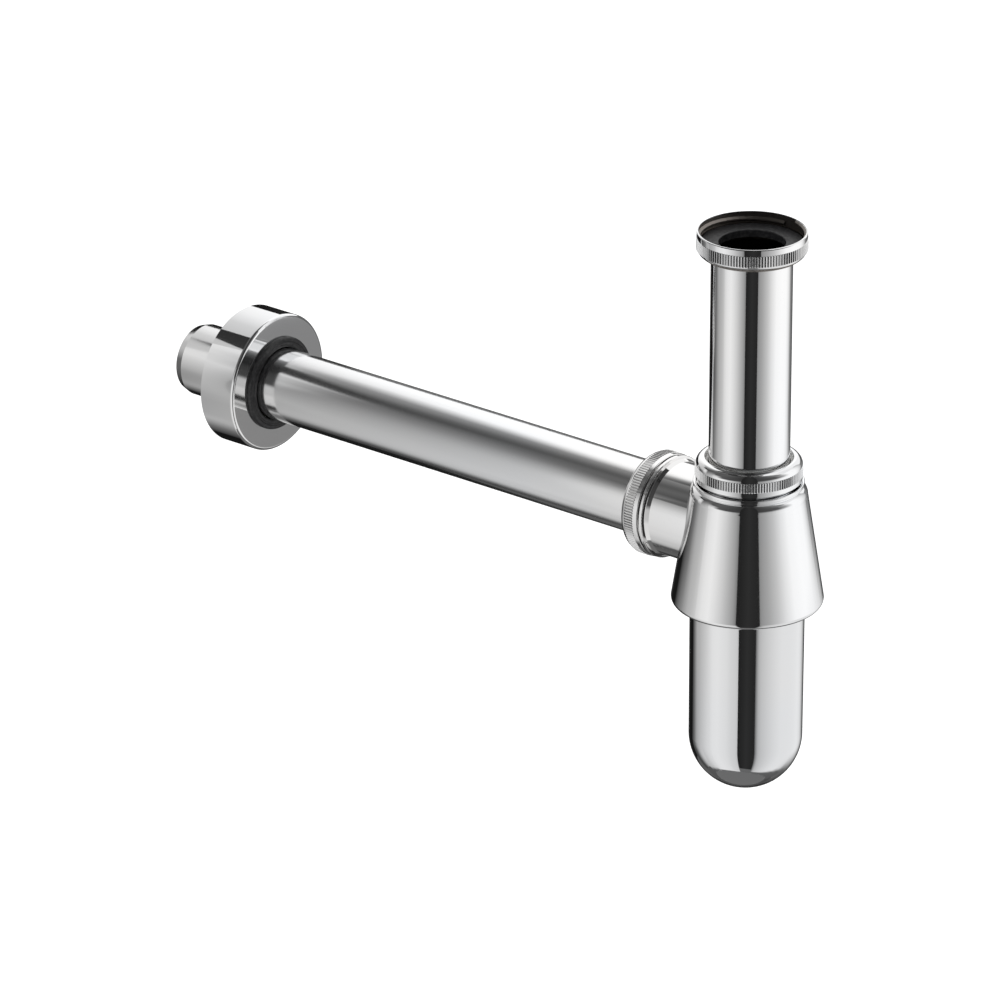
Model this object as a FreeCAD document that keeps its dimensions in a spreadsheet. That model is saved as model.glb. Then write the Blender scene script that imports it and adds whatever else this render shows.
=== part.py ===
import FreeCAD, Part
import math
import os
import Sketcher
from FreeCAD import Placement, Rotation, Vector

# Chrome-plated brass bottle trap for a wash basin.
# Millimetres, +Z up.  The origin is on the inlet tube's axis, at the lower end
# of the union nut's thread, just above the washer that the basin waste lands on.
# The outlet pipe runs along +Y to the wall.

SIZES = {
    # clearances
    "play": 0.3,              # radial gap between pieces that turn or slide on each other
    "seal_play": 0.2,         # radial gap between a rubber seal and what it grips
    "face_gap": 0.1,          # gap between flat faces that part when a nut is undone
    # heights down the inlet tube's axis
    "collar_depth": 99.8,     # top of the body's neck collar below the origin
    "spigot_below": 0.4,      # top of the spigot below the groove under that collar
    "web_gap": 0.5,           # top of the gasket's web below the outlet's bore
    "skirt_drop": 12.4,       # lower edge of the skirt below the web
    "dome_drop": 69.0,        # centre of the bottle's round bottom below the web
    "dip_drop": 68.5,         # lower end of the inlet tube below the outlet's axis
    # lengths along the outlet
    "spigot_out": 8.45,       # face of the spigot's collar beyond the skirt's radius
    "pipe_in": 14.6,          # inner end of the pipe inside that face
    "pipe_length": 262.0,
    "flange_from_end": 43.5,  # face of the flange from the pipe's wall end
    # inlet tube
    "tube_od": 32.0,
    "tube_wall": 1.0,
    "flare_width": 3.4,       # how far the rolled lip at the top stands out
    "flare_bend": 0.6,        # radius of the bend under the lip
    # inlet washer
    "washer_lip": 2.0,        # how far its hole is inside the tube's bore
    "washer_thick": 3.0,
    "washer_play": 0.35,
    # union nut, for a 1 1/4 inch pipe thread
    "union_thread_over": 9.91,  # the thread's major diameter over the tube's
    "union_seat_step": 0.3,   # the washer's seat is this much narrower in radius
    "union_wall": 0.6,        # metal outside the thread at the smooth rim
    "union_rim": 4.6,         # rim above the origin
    "union_rim_band": 2.7,    # smooth band between rim and knurl
    "union_band": 4.5,        # knurled band
    "union_floor": 1.4,       # metal under the tube's rolled lip
    "union_foot_ring": 1.9,   # flat ring round the hole in the underside
    # knurling and small rounds, the same on all three nuts
    "knurl_depth": 0.45,
    "knurl_count": 120,
    "knurl_flat": 0.16,       # share of the pitch that stays a flat ridge
    "knurl_rise": 0.25,       # ridges stand this far above the smooth bands
    "edge_round": 0.4,
    # compression joints at the neck and at the outlet
    "neck_seal_room": 2.2,    # radial room for the rubber seal on the inlet tube
    "outlet_seal_room": 3.2,  # the same on the outlet pipe
    "neck_wall": 0.9,         # metal between the seal's seat and the thread
    "nut_wall": 1.9,          # metal outside the thread in a compression nut
    "nut_lip": 2.2,           # smooth lip at the nut's open end
    "nut_band": 4.0,          # knurled band
    "nut_dome": 3.2,          # rounded top above the knurl
    "nut_shoulder": 1.7,      # thickness of the shoulder that presses the slip ring
    "nut_hole_gap": 1.5,      # gap between the nut's hole and the tube
    "slip_ring_thick": 1.1,
    "mouth_height": 5.5,      # threaded mouth inside the nut, above its open end
    "mouth_depth": 3.8,       # depth of the seal's conical seat
    "joint_gap": 0.7,         # gap between a nut's open end and the collar behind it
    # trap body
    "collar_width": 2.9,      # how far the neck collar stands out from the thread
    "collar_height": 1.5,
    "collar_groove": 0.7,     # width and depth of the groove under the neck collar
    "shoulder_drop": 3.6,     # height of the round between groove and cone
    "cone_top_over": 1.3,     # cone's top over the collar in radius
    "cone_spread": 6.85,      # skirt over the cone's top in radius
    "skirt_round": 2.4,       # round on the skirt's lower edge
    "body_wall": 2.0,
    "sleeve_wall": 2.0,       # threaded sleeve for the bottle, inside the skirt
    "sleeve_inset": 2.2,      # lower end of the sleeve above the skirt's edge
    "web_thick": 2.0,
    "web_lip": 2.3,           # how far the web reaches inside the bottle's radius
    # outlet spigot
    "spigot_collar_width": 1.8,
    "spigot_collar_length": 1.6,
    "ring_groove_depth": 1.1,
    "spigot_shoulder": 1.6,   # length of the slope between that groove and the spigot
    # bottle and its gasket
    "bottle_inset": 7.35,     # bottle's rim inside the skirt's radius
    "bottle_draft": 0.2,      # the bottle is this much smaller in radius at its dome
    "bottle_wall": 1.5,
    "gasket_thick": 1.2,
    "gasket_width": 2.0,
    # outlet pipe
    "pipe_od": 30.0,
    "pipe_wall": 1.0,
    "pipe_taper": 3.5,        # length of the rolled-in lead at the wall end
    "pipe_taper_in": 1.1,     # how far the lead is rolled in
    "mark_from_end": 25.0,    # ring that shows how far the pipe goes into the wall
    "mark_width": 0.8,
    "mark_depth": 0.3,
    # wall flange and its seal
    "flange_width": 13.9,     # flange's outside over the pipe's in radius
    "flange_depth": 17.0,
    "flange_wall": 1.0,
    "flange_round": 1.3,
    "flange_neck": 2.1,       # rubber between the pipe and the flange's hole
    "seal_lip": 2.2,          # how far the seal's lips stand out past the hole
    "seal_proud": 1.8,        # front lip in front of the face
    "seal_back": 1.6,         # back lip behind the face
    "seal_groove": 0.5,       # half the width of the ring groove in the front lip
}

SHEET = "Sizes"

# Radius of an arc over its width plus height.  Just over a half is a quarter
# round, and more is flatter.
QUARTER_ROUND = 0.51
SOFT_ROUND = 0.74

# Radius of a ring groove over half its width.
GROOVE_ROUND = 1.2

# A cut runs this far past the face that it opens.
CUT_PAST = 1.0


class Size:
    """A length: its value, and the expression that ties it to the sheet."""

    def __init__(self, value, text):
        self.value = value
        self.text = text

    def joined(self, other, sign, value):
        return Size(value, "(%s %s %s)" % (self.text, sign, as_size(other).text))

    def __add__(self, other):
        return self.joined(other, "+", self.value + as_size(other).value)

    def __sub__(self, other):
        return self.joined(other, "-", self.value - as_size(other).value)

    def __mul__(self, other):
        return self.joined(other, "*", self.value * as_size(other).value)

    def __truediv__(self, other):
        return self.joined(other, "/", self.value / as_size(other).value)

    def __neg__(self):
        return Size(-self.value, "(-%s)" % self.text)


def as_size(number):
    if isinstance(number, Size):
        return number
    return Size(float(number), repr(float(number)))


ZERO = as_size(0)
ONE = as_size(1)


def make_sheet(doc):
    """Put every driving dimension in the sheet, and return them by name."""
    sheet = doc.addObject("Spreadsheet::Sheet", SHEET)
    sizes = {}
    for row, (name, value) in enumerate(SIZES.items(), start=1):
        sheet.set("A%d" % row, name)
        sheet.set("B%d" % row, str(value))
        sheet.setAlias("B%d" % row, name)
        sizes[name] = Size(float(value), "%s.%s" % (SHEET, name))
    doc.recompute()
    return sizes


class Joint:
    """Radii of the compression joint round a pipe, from the pipe outwards."""

    def __init__(self, s, name, pipe, room):
        self.name = name
        self.pipe = pipe / 2
        self.guide = self.pipe + s["play"]
        self.seat = self.pipe + room
        self.thread = self.seat + s["neck_wall"]
        self.nut_bore = self.thread + s["play"]
        self.nut_outside = self.nut_bore + s["nut_wall"]


class Layout:
    """Where the pieces meet: heights on the tube's axis, reaches along the outlet."""

    def __init__(self, s):
        self.neck = Joint(s, "neck", s["tube_od"], s["neck_seal_room"])
        self.outlet = Joint(s, "outlet", s["pipe_od"], s["outlet_seal_room"])

        self.washer_top = -s["face_gap"]
        self.tube_top = self.washer_top - s["washer_thick"]
        self.union_thread = s["tube_od"] / 2 + s["union_thread_over"] / 2
        self.union_seat = self.union_thread - s["union_seat_step"]

        self.collar_top = -s["collar_depth"]
        self.collar_bottom = self.collar_top - s["collar_height"]
        self.groove_bottom = self.collar_bottom - s["collar_groove"]
        self.cone_top = self.groove_bottom - s["shoulder_drop"]
        self.neck_open = self.collar_top + s["joint_gap"]
        self.neck_mouth = self.neck_open + s["mouth_height"]
        self.axis = self.groove_bottom - s["spigot_below"] - self.outlet.thread
        self.web_top = self.axis - self.outlet.guide - s["web_gap"]
        self.web_under = self.web_top - s["web_thick"]
        self.skirt_edge = self.web_under - s["skirt_drop"]
        self.cone_low = self.skirt_edge + s["skirt_round"]
        self.dome_centre = self.web_under - s["dome_drop"]
        self.tube_end = self.axis - s["dip_drop"]

        self.collar = self.neck.thread + s["collar_width"]
        self.cone_top_radius = self.collar + s["cone_top_over"]
        self.skirt = self.cone_top_radius + s["cone_spread"]
        self.bottle = self.skirt - s["bottle_inset"]

        self.reach = self.skirt + s["spigot_out"]
        self.outlet_open = self.reach + s["joint_gap"]
        self.outlet_mouth = self.outlet_open + s["mouth_height"]
        self.pipe_start = self.reach - s["pipe_in"]
        self.flange_front = self.pipe_start + s["pipe_length"] - s["flange_from_end"]


# Sketches


def origin_item(body, role):
    return next(item for item in body.Origin.OriginFeatures if item.Role == role)


def new_sketch(body, name, plane, lift=None):
    """A sketch on one of the body's own planes, lifted along its normal."""
    sketch = body.newObject("Sketcher::SketchObject", name)
    sketch.AttachmentSupport = (origin_item(body, plane), [""])
    sketch.MapMode = "FlatFace"
    sketch.Visibility = False
    if lift is not None:
        sketch.setExpression("AttachmentOffset.Base.z", lift.text)
    return sketch


def arc_between(start, end, radius, left):
    """The arc of this radius from start to end, bending left or right."""
    middle = (start + end) * 0.5
    chord = end - start
    rise = math.sqrt(max(radius**2 - (chord.Length / 2) ** 2, 0.0))
    side = Vector(-chord.y, chord.x, 0).normalize()
    centre = middle + side * (rise if left else -rise)
    first, last = (start, end) if left else (end, start)
    angles = [math.atan2(p.y - centre.y, p.x - centre.x) for p in (first, last)]
    if angles[1] < angles[0]:
        angles[1] += 2 * math.pi
    circle = Part.Circle(centre, Vector(0, 0, 1), radius)
    return Part.ArcOfCircle(circle, angles[0], angles[1])


def tie(sketch, kind, geometry, value):
    """Add one dimension to the sketch and bind it to its expression."""
    index = sketch.addConstraint(Sketcher.Constraint(kind, *geometry, value.value))
    sketch.setExpression("Constraints[%d]" % index, value.text)


def draw_outline(sketch, path):
    """A closed outline.

    Each point is (across, up), joined to the one before by a straight line, or
    (across, up, radius, "left" or "right"), joined by an arc bending that way.
    """
    points = [Vector(p[0].value, p[1].value, 0) for p in path]
    count = len(path)
    edges = []
    for i in range(count):
        j = (i + 1) % count
        if len(path[j]) == 2:
            edge = sketch.addGeometry(Part.LineSegment(points[i], points[j]), False)
            edges.append((edge, 1, 2))
        else:
            radius, side = path[j][2], path[j][3]
            arc = arc_between(points[i], points[j], radius.value, side == "left")
            edge = sketch.addGeometry(arc, False)
            tie(sketch, "Radius", (edge,), radius)
            edges.append((edge, 1, 2) if side == "left" else (edge, 2, 1))
    for i in range(count):
        edge, _, end = edges[i]
        following, start, _ = edges[(i + 1) % count]
        sketch.addConstraint(Sketcher.Constraint("Coincident", edge, end, following, start))
    for i in range(count):
        edge, start, _ = edges[i]
        for kind, axis, length in (("DistanceX", -2, path[i][0]), ("DistanceY", -1, path[i][1])):
            if abs(length.value) < 1e-9:
                on_axis = Sketcher.Constraint("PointOnObject", edge, start, axis)
                sketch.addConstraint(on_axis)
            else:
                tie(sketch, kind, (-1, 1, edge, start), length)


def turned(body, name, path, kind="Revolution", plane="XZ_Plane", axis=None):
    """Revolve an outline about the sketch's upright axis, or about another line."""
    sketch = new_sketch(body, name + "_outline", plane)
    draw_outline(sketch, path)
    feature = body.newObject("PartDesign::" + kind, name)
    feature.Profile = sketch
    feature.ReferenceAxis = axis if axis else (sketch, ["V_Axis"])
    feature.Angle = 360


def new_body(doc, label):
    body = doc.addObject("PartDesign::Body", label)
    body.Label = label
    return body


def place(body, along_y=None, height=None):
    """Set a body at a height on the tube's axis, or along the outlet's axis."""
    if along_y is not None:
        body.Placement = Placement(Vector(0, 0, 0), Rotation(Vector(1, 0, 0), -90))
        body.setExpression("Placement.Base.y", along_y.text)
    if height is not None:
        body.setExpression("Placement.Base.z", height.text)


def knurl(doc, body, s, radius, bottom, height):
    """Straight V grooves round a band whose ridges reach the given radius."""
    depth = s["knurl_depth"]
    margin = depth / 2
    pitch = radius * (2 * math.pi) / s["knurl_count"]
    groove = pitch * (ONE - s["knurl_flat"])
    half_width = groove / 2 * (depth + margin) / depth
    sketch = new_sketch(body, "groove_outline", "XY_Plane", bottom + height)
    draw_outline(sketch, [
        (radius - depth, ZERO),
        (radius + margin, half_width),
        (radius + margin, -half_width),
    ])
    cut = body.newObject("PartDesign::Pocket", "groove")
    cut.Profile = sketch
    cut.setExpression("Length", height.text)
    doc.recompute()
    pattern = body.newObject("PartDesign::PolarPattern", "knurl")
    pattern.Originals = [cut]
    pattern.Axis = (origin_item(body, "Z_Axis"), [""])
    pattern.Angle = 360
    pattern.setExpression("Occurrences", s["knurl_count"].text)
    body.Tip = pattern


# Inlet


def make_inlet_tube(doc, s, at):
    """Dip tube with a rolled lip that the washer lies on."""
    outer = s["tube_od"] / 2
    inner = outer - s["tube_wall"]
    under = at.tube_top - s["tube_wall"]
    bend = s["flare_bend"]
    wide_bend = bend + s["tube_wall"]
    body = new_body(doc, "inlet_tube")
    turned(body, "tube", [
        (outer, at.tube_end),
        (outer, under - bend),
        (outer + bend, under, bend, "right"),
        (outer + s["flare_width"], under),
        (outer + s["flare_width"], at.tube_top),
        (inner + wide_bend, at.tube_top),
        (inner, at.tube_top - wide_bend, wide_bend, "left"),
        (inner, at.tube_end),
    ])
    return body


def make_inlet_washer(doc, s, at):
    outer = at.union_seat - s["washer_play"]
    inner = s["tube_od"] / 2 - s["tube_wall"] - s["washer_lip"]
    edge = s["edge_round"]
    body = new_body(doc, "inlet_washer")
    turned(body, "washer", [
        (inner, at.tube_top),
        (outer, at.tube_top),
        (outer, at.washer_top - edge),
        (outer - edge, at.washer_top, edge, "left"),
        (inner + edge, at.washer_top),
        (inner, at.washer_top - edge, edge, "left"),
    ])
    return body


def make_inlet_union_nut(doc, s, at):
    """Union nut: threaded bore, seats for washer and rolled lip, knurled band."""
    rim = at.union_thread + s["union_wall"]
    ridge = rim + s["knurl_rise"]
    hole = s["tube_od"] / 2 + s["play"]
    lip_room = s["tube_od"] / 2 + s["flare_width"] + s["play"]
    lip_top = at.tube_top - s["face_gap"]
    floor = lip_top - s["tube_wall"]
    foot = floor - s["union_floor"]
    edge = s["edge_round"]
    band_top = s["union_rim"] - s["union_rim_band"]
    band_bottom = band_top - s["union_band"]
    foot_edge = hole + s["union_foot_ring"]
    shoulder_round = (rim - foot_edge + band_bottom - foot) * SOFT_ROUND
    body = new_body(doc, "inlet_union_nut")
    turned(body, "nut", [
        (hole, foot),
        (foot_edge, foot),
        (rim, band_bottom, shoulder_round, "left"),
        (ridge, band_bottom),
        (ridge, band_top),
        (rim, band_top),
        (rim, s["union_rim"] - edge),
        (rim - edge, s["union_rim"], edge, "left"),
        (at.union_thread, s["union_rim"]),
        (at.union_thread, ZERO),
        (at.union_seat, ZERO),
        (at.union_seat, lip_top),
        (lip_room, lip_top),
        (lip_room, floor),
        (hole, floor),
    ])
    knurl(doc, body, s, ridge, band_bottom, s["union_band"])
    return body


# Compression joints.  A nut, its slip ring and its seal share one origin: the
# nut's open end, on the pipe's axis, with +Z away from the trap body.


def nut_height(s):
    return s["nut_lip"] + s["nut_band"] + s["nut_dome"]


def make_compression_nut(doc, s, joint):
    """Nut with a smooth lip, a knurled band and a rounded top."""
    outside = joint.nut_outside
    lip = outside - s["knurl_rise"]
    band_bottom = s["nut_lip"]
    band_top = band_bottom + s["nut_band"]
    top = nut_height(s)
    floor = top - s["nut_shoulder"]
    edge = s["edge_round"]
    fine_edge = edge / 2
    hole = joint.pipe + s["nut_hole_gap"]
    dome_round = (lip - hole - edge + s["nut_dome"]) * QUARTER_ROUND
    body = new_body(doc, joint.name + "_nut")
    turned(body, "nut", [
        (joint.nut_bore, ZERO),
        (lip - edge, ZERO),
        (lip, edge, edge, "left"),
        (lip, band_bottom),
        (outside, band_bottom),
        (outside, band_top),
        (lip, band_top),
        (hole + edge, top, dome_round, "left"),
        (hole + fine_edge, top),
        (hole, top - fine_edge, fine_edge, "left"),
        (hole, floor),
        (joint.nut_bore, floor),
    ])
    knurl(doc, body, s, outside, band_bottom, s["nut_band"])
    return body


def make_slip_ring(doc, s, joint):
    """Thin friction ring between a nut's shoulder and the rubber seal."""
    top = nut_height(s) - s["nut_shoulder"] - s["face_gap"]
    bottom = top - s["slip_ring_thick"]
    body = new_body(doc, joint.name + "_slip_ring")
    turned(body, "ring", [
        (joint.guide, bottom),
        (joint.thread, bottom),
        (joint.thread, top),
        (joint.guide, top),
    ])
    return body


def make_joint_seal(doc, s, joint):
    """Conical rubber ring that sits in the mouth and grips the pipe."""
    gap = s["seal_play"]
    inner = joint.pipe + gap
    top = nut_height(s) - s["nut_shoulder"] - s["slip_ring_thick"] - s["face_gap"] * 2
    mouth = s["mouth_height"]
    bottom = mouth - s["mouth_depth"] + gap
    body = new_body(doc, joint.name + "_seal")
    turned(body, "seal", [
        (inner, bottom),
        (inner + gap, bottom),
        (joint.seat - gap, mouth),
        (joint.seat - gap, top),
        (inner, top),
    ])
    return body


# Trap body: one casting


def casting_outside(s, at):
    """Neck, collar, groove, shoulder, cone and the skirt's rounded edge."""
    edge = s["edge_round"]
    groove = at.collar - s["collar_groove"]
    shoulder_round = (at.cone_top_radius - groove + s["shoulder_drop"]) * SOFT_ROUND
    return [
        (ZERO, at.neck_mouth),
        (ZERO, at.skirt_edge),
        (at.skirt - s["skirt_round"], at.skirt_edge),
        (at.skirt, at.cone_low, s["skirt_round"], "left"),
        (at.cone_top_radius, at.cone_top),
        (groove, at.groove_bottom, shoulder_round, "left"),
        (groove, at.collar_bottom),
        (at.collar - edge, at.collar_bottom),
        (at.collar, at.collar_bottom + edge, edge, "left"),
        (at.collar, at.collar_top - edge),
        (at.collar - edge, at.collar_top, edge, "left"),
        (at.neck.thread, at.collar_top),
        (at.neck.thread, at.neck_mouth),
    ]


def spigot_outside(s, at):
    """Spigot, ring groove, collar and threaded mouth, above the outlet's axis."""
    edge = s["edge_round"]
    thread = at.axis + at.outlet.thread
    collar = thread + s["spigot_collar_width"]
    groove = collar - s["ring_groove_depth"]
    collar_back = at.reach - s["spigot_collar_length"]
    groove_back = collar_back - s["collar_groove"]
    return [
        (ZERO, at.axis),
        (at.outlet_mouth, at.axis),
        (at.outlet_mouth, thread),
        (at.reach, thread),
        (at.reach, collar - edge),
        (at.reach - edge, collar, edge, "left"),
        (collar_back + edge, collar),
        (collar_back, collar - edge, edge, "left"),
        (collar_back, groove),
        (groove_back, groove),
        (groove_back - s["spigot_shoulder"], thread),
        (ZERO, thread),
    ]


def chamber(s, at):
    """Seal seat, guide for the tube, and the room above the web."""
    wall = s["body_wall"]
    roof = at.groove_bottom - wall
    room = at.cone_top_radius - wall
    web_bore = at.bottle - s["web_lip"]
    return [
        (ZERO, at.neck_mouth + CUT_PAST),
        (at.neck.seat, at.neck_mouth + CUT_PAST),
        (at.neck.seat, at.neck_mouth),
        (at.neck.guide, at.neck_mouth - s["mouth_depth"]),
        (at.neck.guide, roof),
        (room - wall, roof),
        (room, roof - wall, wall, "right"),
        (cone_inside(s, at, at.web_top), at.web_top),
        (web_bore, at.web_top),
        (web_bore, at.web_under),
        (ZERO, at.web_under),
    ]


def skirt_hollow(s, at):
    """The bottle's bore in the sleeve, and the gap between sleeve and skirt."""
    sleeve_inner = at.bottle + s["play"]
    sleeve_outer = sleeve_inner + s["sleeve_wall"]
    sleeve_end = at.skirt_edge + s["sleeve_inset"]
    skirt_inner = at.skirt - s["body_wall"]
    return [
        (ZERO, at.web_under),
        (sleeve_inner, at.web_under),
        (sleeve_inner, sleeve_end),
        (sleeve_outer, sleeve_end),
        (sleeve_outer, at.web_under),
        (cone_inside(s, at, at.web_under), at.web_under),
        (skirt_inner, at.cone_low),
        (skirt_inner, at.skirt_edge - CUT_PAST),
        (ZERO, at.skirt_edge - CUT_PAST),
    ]


def cone_inside(s, at, height):
    """Inside radius of the cone's wall at a height."""
    slope = (at.skirt - at.cone_top_radius) / (at.cone_top - at.cone_low)
    return at.skirt - slope * (height - at.cone_low) - s["body_wall"]


def outlet_bore(s, at):
    """Guide for the pipe and the conical seat of its seal."""
    guide = at.axis + at.outlet.guide
    seat = at.axis + at.outlet.seat
    return [
        (ZERO, at.axis),
        (at.outlet_mouth + CUT_PAST, at.axis),
        (at.outlet_mouth + CUT_PAST, seat),
        (at.outlet_mouth, seat),
        (at.outlet_mouth - s["mouth_depth"], guide),
        (ZERO, guide),
    ]


def outlet_axis(body, at):
    """The outlet's axis as a line that the spigot and its bore are turned about."""
    sketch = new_sketch(body, "outlet_axis", "YZ_Plane")
    start = Vector(0, at.axis.value, 0)
    end = Vector(at.outlet_mouth.value, at.axis.value, 0)
    line = sketch.addGeometry(Part.LineSegment(start, end), False)
    sketch.addConstraint(Sketcher.Constraint("Horizontal", line))
    sketch.addConstraint(Sketcher.Constraint("PointOnObject", line, 1, -2))
    tie(sketch, "DistanceY", (-1, 1, line, 1), at.axis)
    tie(sketch, "DistanceX", (line, 1, line, 2), at.outlet_mouth)
    return sketch, ["Edge1"]


def make_trap_body(doc, s, at):
    """Neck, cone with hollow skirt, sleeve for the bottle, and outlet spigot."""
    body = new_body(doc, "trap_body")
    turned(body, "outside", casting_outside(s, at))
    line = outlet_axis(body, at)
    turned(body, "spigot", spigot_outside(s, at), plane="YZ_Plane", axis=line)
    turned(body, "chamber", chamber(s, at), kind="Groove")
    turned(body, "skirt_hollow", skirt_hollow(s, at), kind="Groove")
    turned(body, "outlet_bore", outlet_bore(s, at), kind="Groove", plane="YZ_Plane", axis=line)
    return body


# Bottle


def make_bottle_gasket(doc, s, at):
    top = at.web_under - s["face_gap"]
    bottom = top - s["gasket_thick"]
    inner = at.bottle - s["gasket_width"]
    body = new_body(doc, "bottle_gasket")
    turned(body, "gasket", [
        (inner, bottom),
        (at.bottle, bottom),
        (at.bottle, top),
        (inner, top),
    ])
    return body


def make_bottle_cup(doc, s, at):
    """Cup with a round bottom, drawn with a slight draft."""
    top = at.web_under - s["face_gap"] * 2 - s["gasket_thick"]
    low = at.bottle - s["bottle_draft"]
    wall = s["bottle_wall"]
    bottom = at.dome_centre - low
    body = new_body(doc, "bottle_cup")
    turned(body, "cup", [
        (ZERO, bottom),
        (low, at.dome_centre, low, "left"),
        (at.bottle, top),
        (at.bottle - wall, top),
        (low - wall, at.dome_centre),
        (ZERO, bottom + wall, low - wall, "right"),
    ])
    return body


# Outlet pipe, flange and flange seal, each turned about the outlet axis


def make_outlet_pipe(doc, s):
    """Straight pipe with a ring that marks its free end, and a rolled-in lead."""
    outer = s["pipe_od"] / 2
    inner = outer - s["pipe_wall"]
    end = s["pipe_length"]
    straight = end - s["pipe_taper"]
    inset = s["pipe_taper_in"]
    mark_top = end - s["mark_from_end"]
    mark_bottom = mark_top - s["mark_width"]
    body = new_body(doc, "outlet_pipe")
    turned(body, "pipe", [
        (inner, ZERO),
        (outer, ZERO),
        (outer, mark_bottom),
        (outer - s["mark_depth"], mark_bottom),
        (outer - s["mark_depth"], mark_top),
        (outer, mark_top),
        (outer, straight),
        (outer - inset, end),
        (inner - inset, end),
        (inner, straight),
    ])
    return body


def make_wall_flange(doc, s):
    """Deep cup with a flat face, open towards the wall."""
    outer = s["pipe_od"] / 2 + s["flange_width"]
    hole = s["pipe_od"] / 2 + s["flange_neck"] + s["play"]
    wall = s["flange_wall"]
    depth = s["flange_depth"]
    rounding = s["flange_round"]
    inside_round = rounding - wall / 2
    body = new_body(doc, "wall_flange")
    turned(body, "cup", [
        (hole, ZERO),
        (outer - rounding, ZERO),
        (outer, rounding, rounding, "left"),
        (outer, depth),
        (outer - wall, depth),
        (outer - wall, wall + inside_round),
        (outer - wall - inside_round, wall, inside_round, "right"),
        (hole, wall),
    ])
    return body


def make_flange_seal(doc, s):
    """Rubber grommet: a front lip, a waist in the flange's hole and a back lip."""
    inner = s["pipe_od"] / 2 + s["seal_play"]
    waist = s["pipe_od"] / 2 + s["flange_neck"]
    lip = waist + s["play"] + s["seal_lip"]
    gap = s["face_gap"]
    front = -s["seal_proud"]
    back = s["flange_wall"] + gap + s["seal_back"]
    groove = s["seal_groove"]
    edge = groove * 2
    middle = (lip + inner) / 2
    body = new_body(doc, "flange_seal")
    turned(body, "seal", [
        (inner, front + edge),
        (inner + edge, front, edge, "left"),
        (middle - groove, front),
        (middle + groove, front, groove * GROOVE_ROUND, "right"),
        (lip - edge, front),
        (lip, front + edge, edge, "left"),
        (lip, -gap),
        (waist, -gap),
        (waist, s["flange_wall"] + gap),
        (lip - groove, s["flange_wall"] + gap),
        (lip - groove, back),
        (inner, back),
    ])
    return body


def make_compression_joint(doc, s, joint):
    return [
        make_compression_nut(doc, s, joint),
        make_slip_ring(doc, s, joint),
        make_joint_seal(doc, s, joint),
    ]


def build():
    doc = FreeCAD.newDocument("bottle_trap")
    s = make_sheet(doc)
    at = Layout(s)

    upright = [
        make_inlet_tube(doc, s, at),
        make_inlet_washer(doc, s, at),
        make_inlet_union_nut(doc, s, at),
        make_trap_body(doc, s, at),
        make_bottle_gasket(doc, s, at),
        make_bottle_cup(doc, s, at),
    ]
    neck_pieces = make_compression_joint(doc, s, at.neck)
    for piece in neck_pieces:
        place(piece, height=at.neck_open)
    outlet_pieces = make_compression_joint(doc, s, at.outlet)
    for piece in outlet_pieces:
        place(piece, along_y=at.outlet_open, height=at.axis)
    pipe = make_outlet_pipe(doc, s)
    place(pipe, along_y=at.pipe_start, height=at.axis)
    wall_pieces = [make_wall_flange(doc, s), make_flange_seal(doc, s)]
    for piece in wall_pieces:
        place(piece, along_y=at.flange_front, height=at.axis)
    doc.recompute()
    return doc, upright + neck_pieces + outlet_pieces + [pipe] + wall_pieces


def check(doc, bodies):
    """Stop if any object failed, or if a piece isn't one valid solid."""
    failed = [o.Label for o in doc.Objects if "Invalid" in o.State or "Error" in o.State]
    if failed:
        raise RuntimeError("failed objects: " + ", ".join(failed))
    for body in bodies:
        shape = body.Shape
        if shape.isNull() or not shape.isValid() or len(shape.Solids) != 1:
            raise RuntimeError(body.Label + " isn't one valid solid")


def main():
    doc, bodies = build()
    check(doc, bodies)
    os.makedirs("parts", exist_ok=True)
    for body in bodies:
        body.Shape.exportStep("parts/%s.step" % body.Label)
        print("%-18s %9.1f mm3" % (body.Label, body.Shape.Volume))


main()
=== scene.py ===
import math

import bmesh
import bpy
from mathutils import Matrix, Vector


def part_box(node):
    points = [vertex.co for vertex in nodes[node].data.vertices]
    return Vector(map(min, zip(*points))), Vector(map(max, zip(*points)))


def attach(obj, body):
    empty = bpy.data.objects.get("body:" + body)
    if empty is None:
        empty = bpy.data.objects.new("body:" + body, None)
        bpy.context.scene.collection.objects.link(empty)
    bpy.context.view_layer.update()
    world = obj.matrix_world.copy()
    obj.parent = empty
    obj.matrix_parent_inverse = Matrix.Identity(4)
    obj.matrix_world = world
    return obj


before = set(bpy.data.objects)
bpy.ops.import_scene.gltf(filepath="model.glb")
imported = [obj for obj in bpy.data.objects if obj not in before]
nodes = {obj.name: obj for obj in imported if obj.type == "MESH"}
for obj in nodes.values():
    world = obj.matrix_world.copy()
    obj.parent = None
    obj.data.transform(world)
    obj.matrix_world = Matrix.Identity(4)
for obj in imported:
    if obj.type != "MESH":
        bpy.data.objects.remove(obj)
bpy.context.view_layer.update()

MM = 0.001

# Places on the trap, in metres

OUTLET_AXIS_Z = -0.1215
BODY_MIDDLE = Vector((0.0, 0.0, -0.11607))

# Camera

CAMERA_AZIMUTH = math.radians(-51.03)
CAMERA_ELEVATION = math.radians(23.23)
CAMERA_DISTANCE = 2.9716
NEAREST_SEEN = 0.1
FARTHEST_SEEN = 50.0
FOCAL_PIXELS = 7578.0
IMAGE_WIDTH = 1000
SENSOR_MM = 36.0
BODY_MIDDLE_PIXELS = (248.4, -17.5)  # right of and above the picture's middle

to_camera = Vector((
    math.sin(CAMERA_AZIMUTH) * math.cos(CAMERA_ELEVATION),
    -math.cos(CAMERA_AZIMUTH) * math.cos(CAMERA_ELEVATION),
    math.sin(CAMERA_ELEVATION),
))
picture_right = Vector((math.cos(CAMERA_AZIMUTH), math.sin(CAMERA_AZIMUTH), 0.0))
picture_up = to_camera.cross(picture_right)


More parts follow.
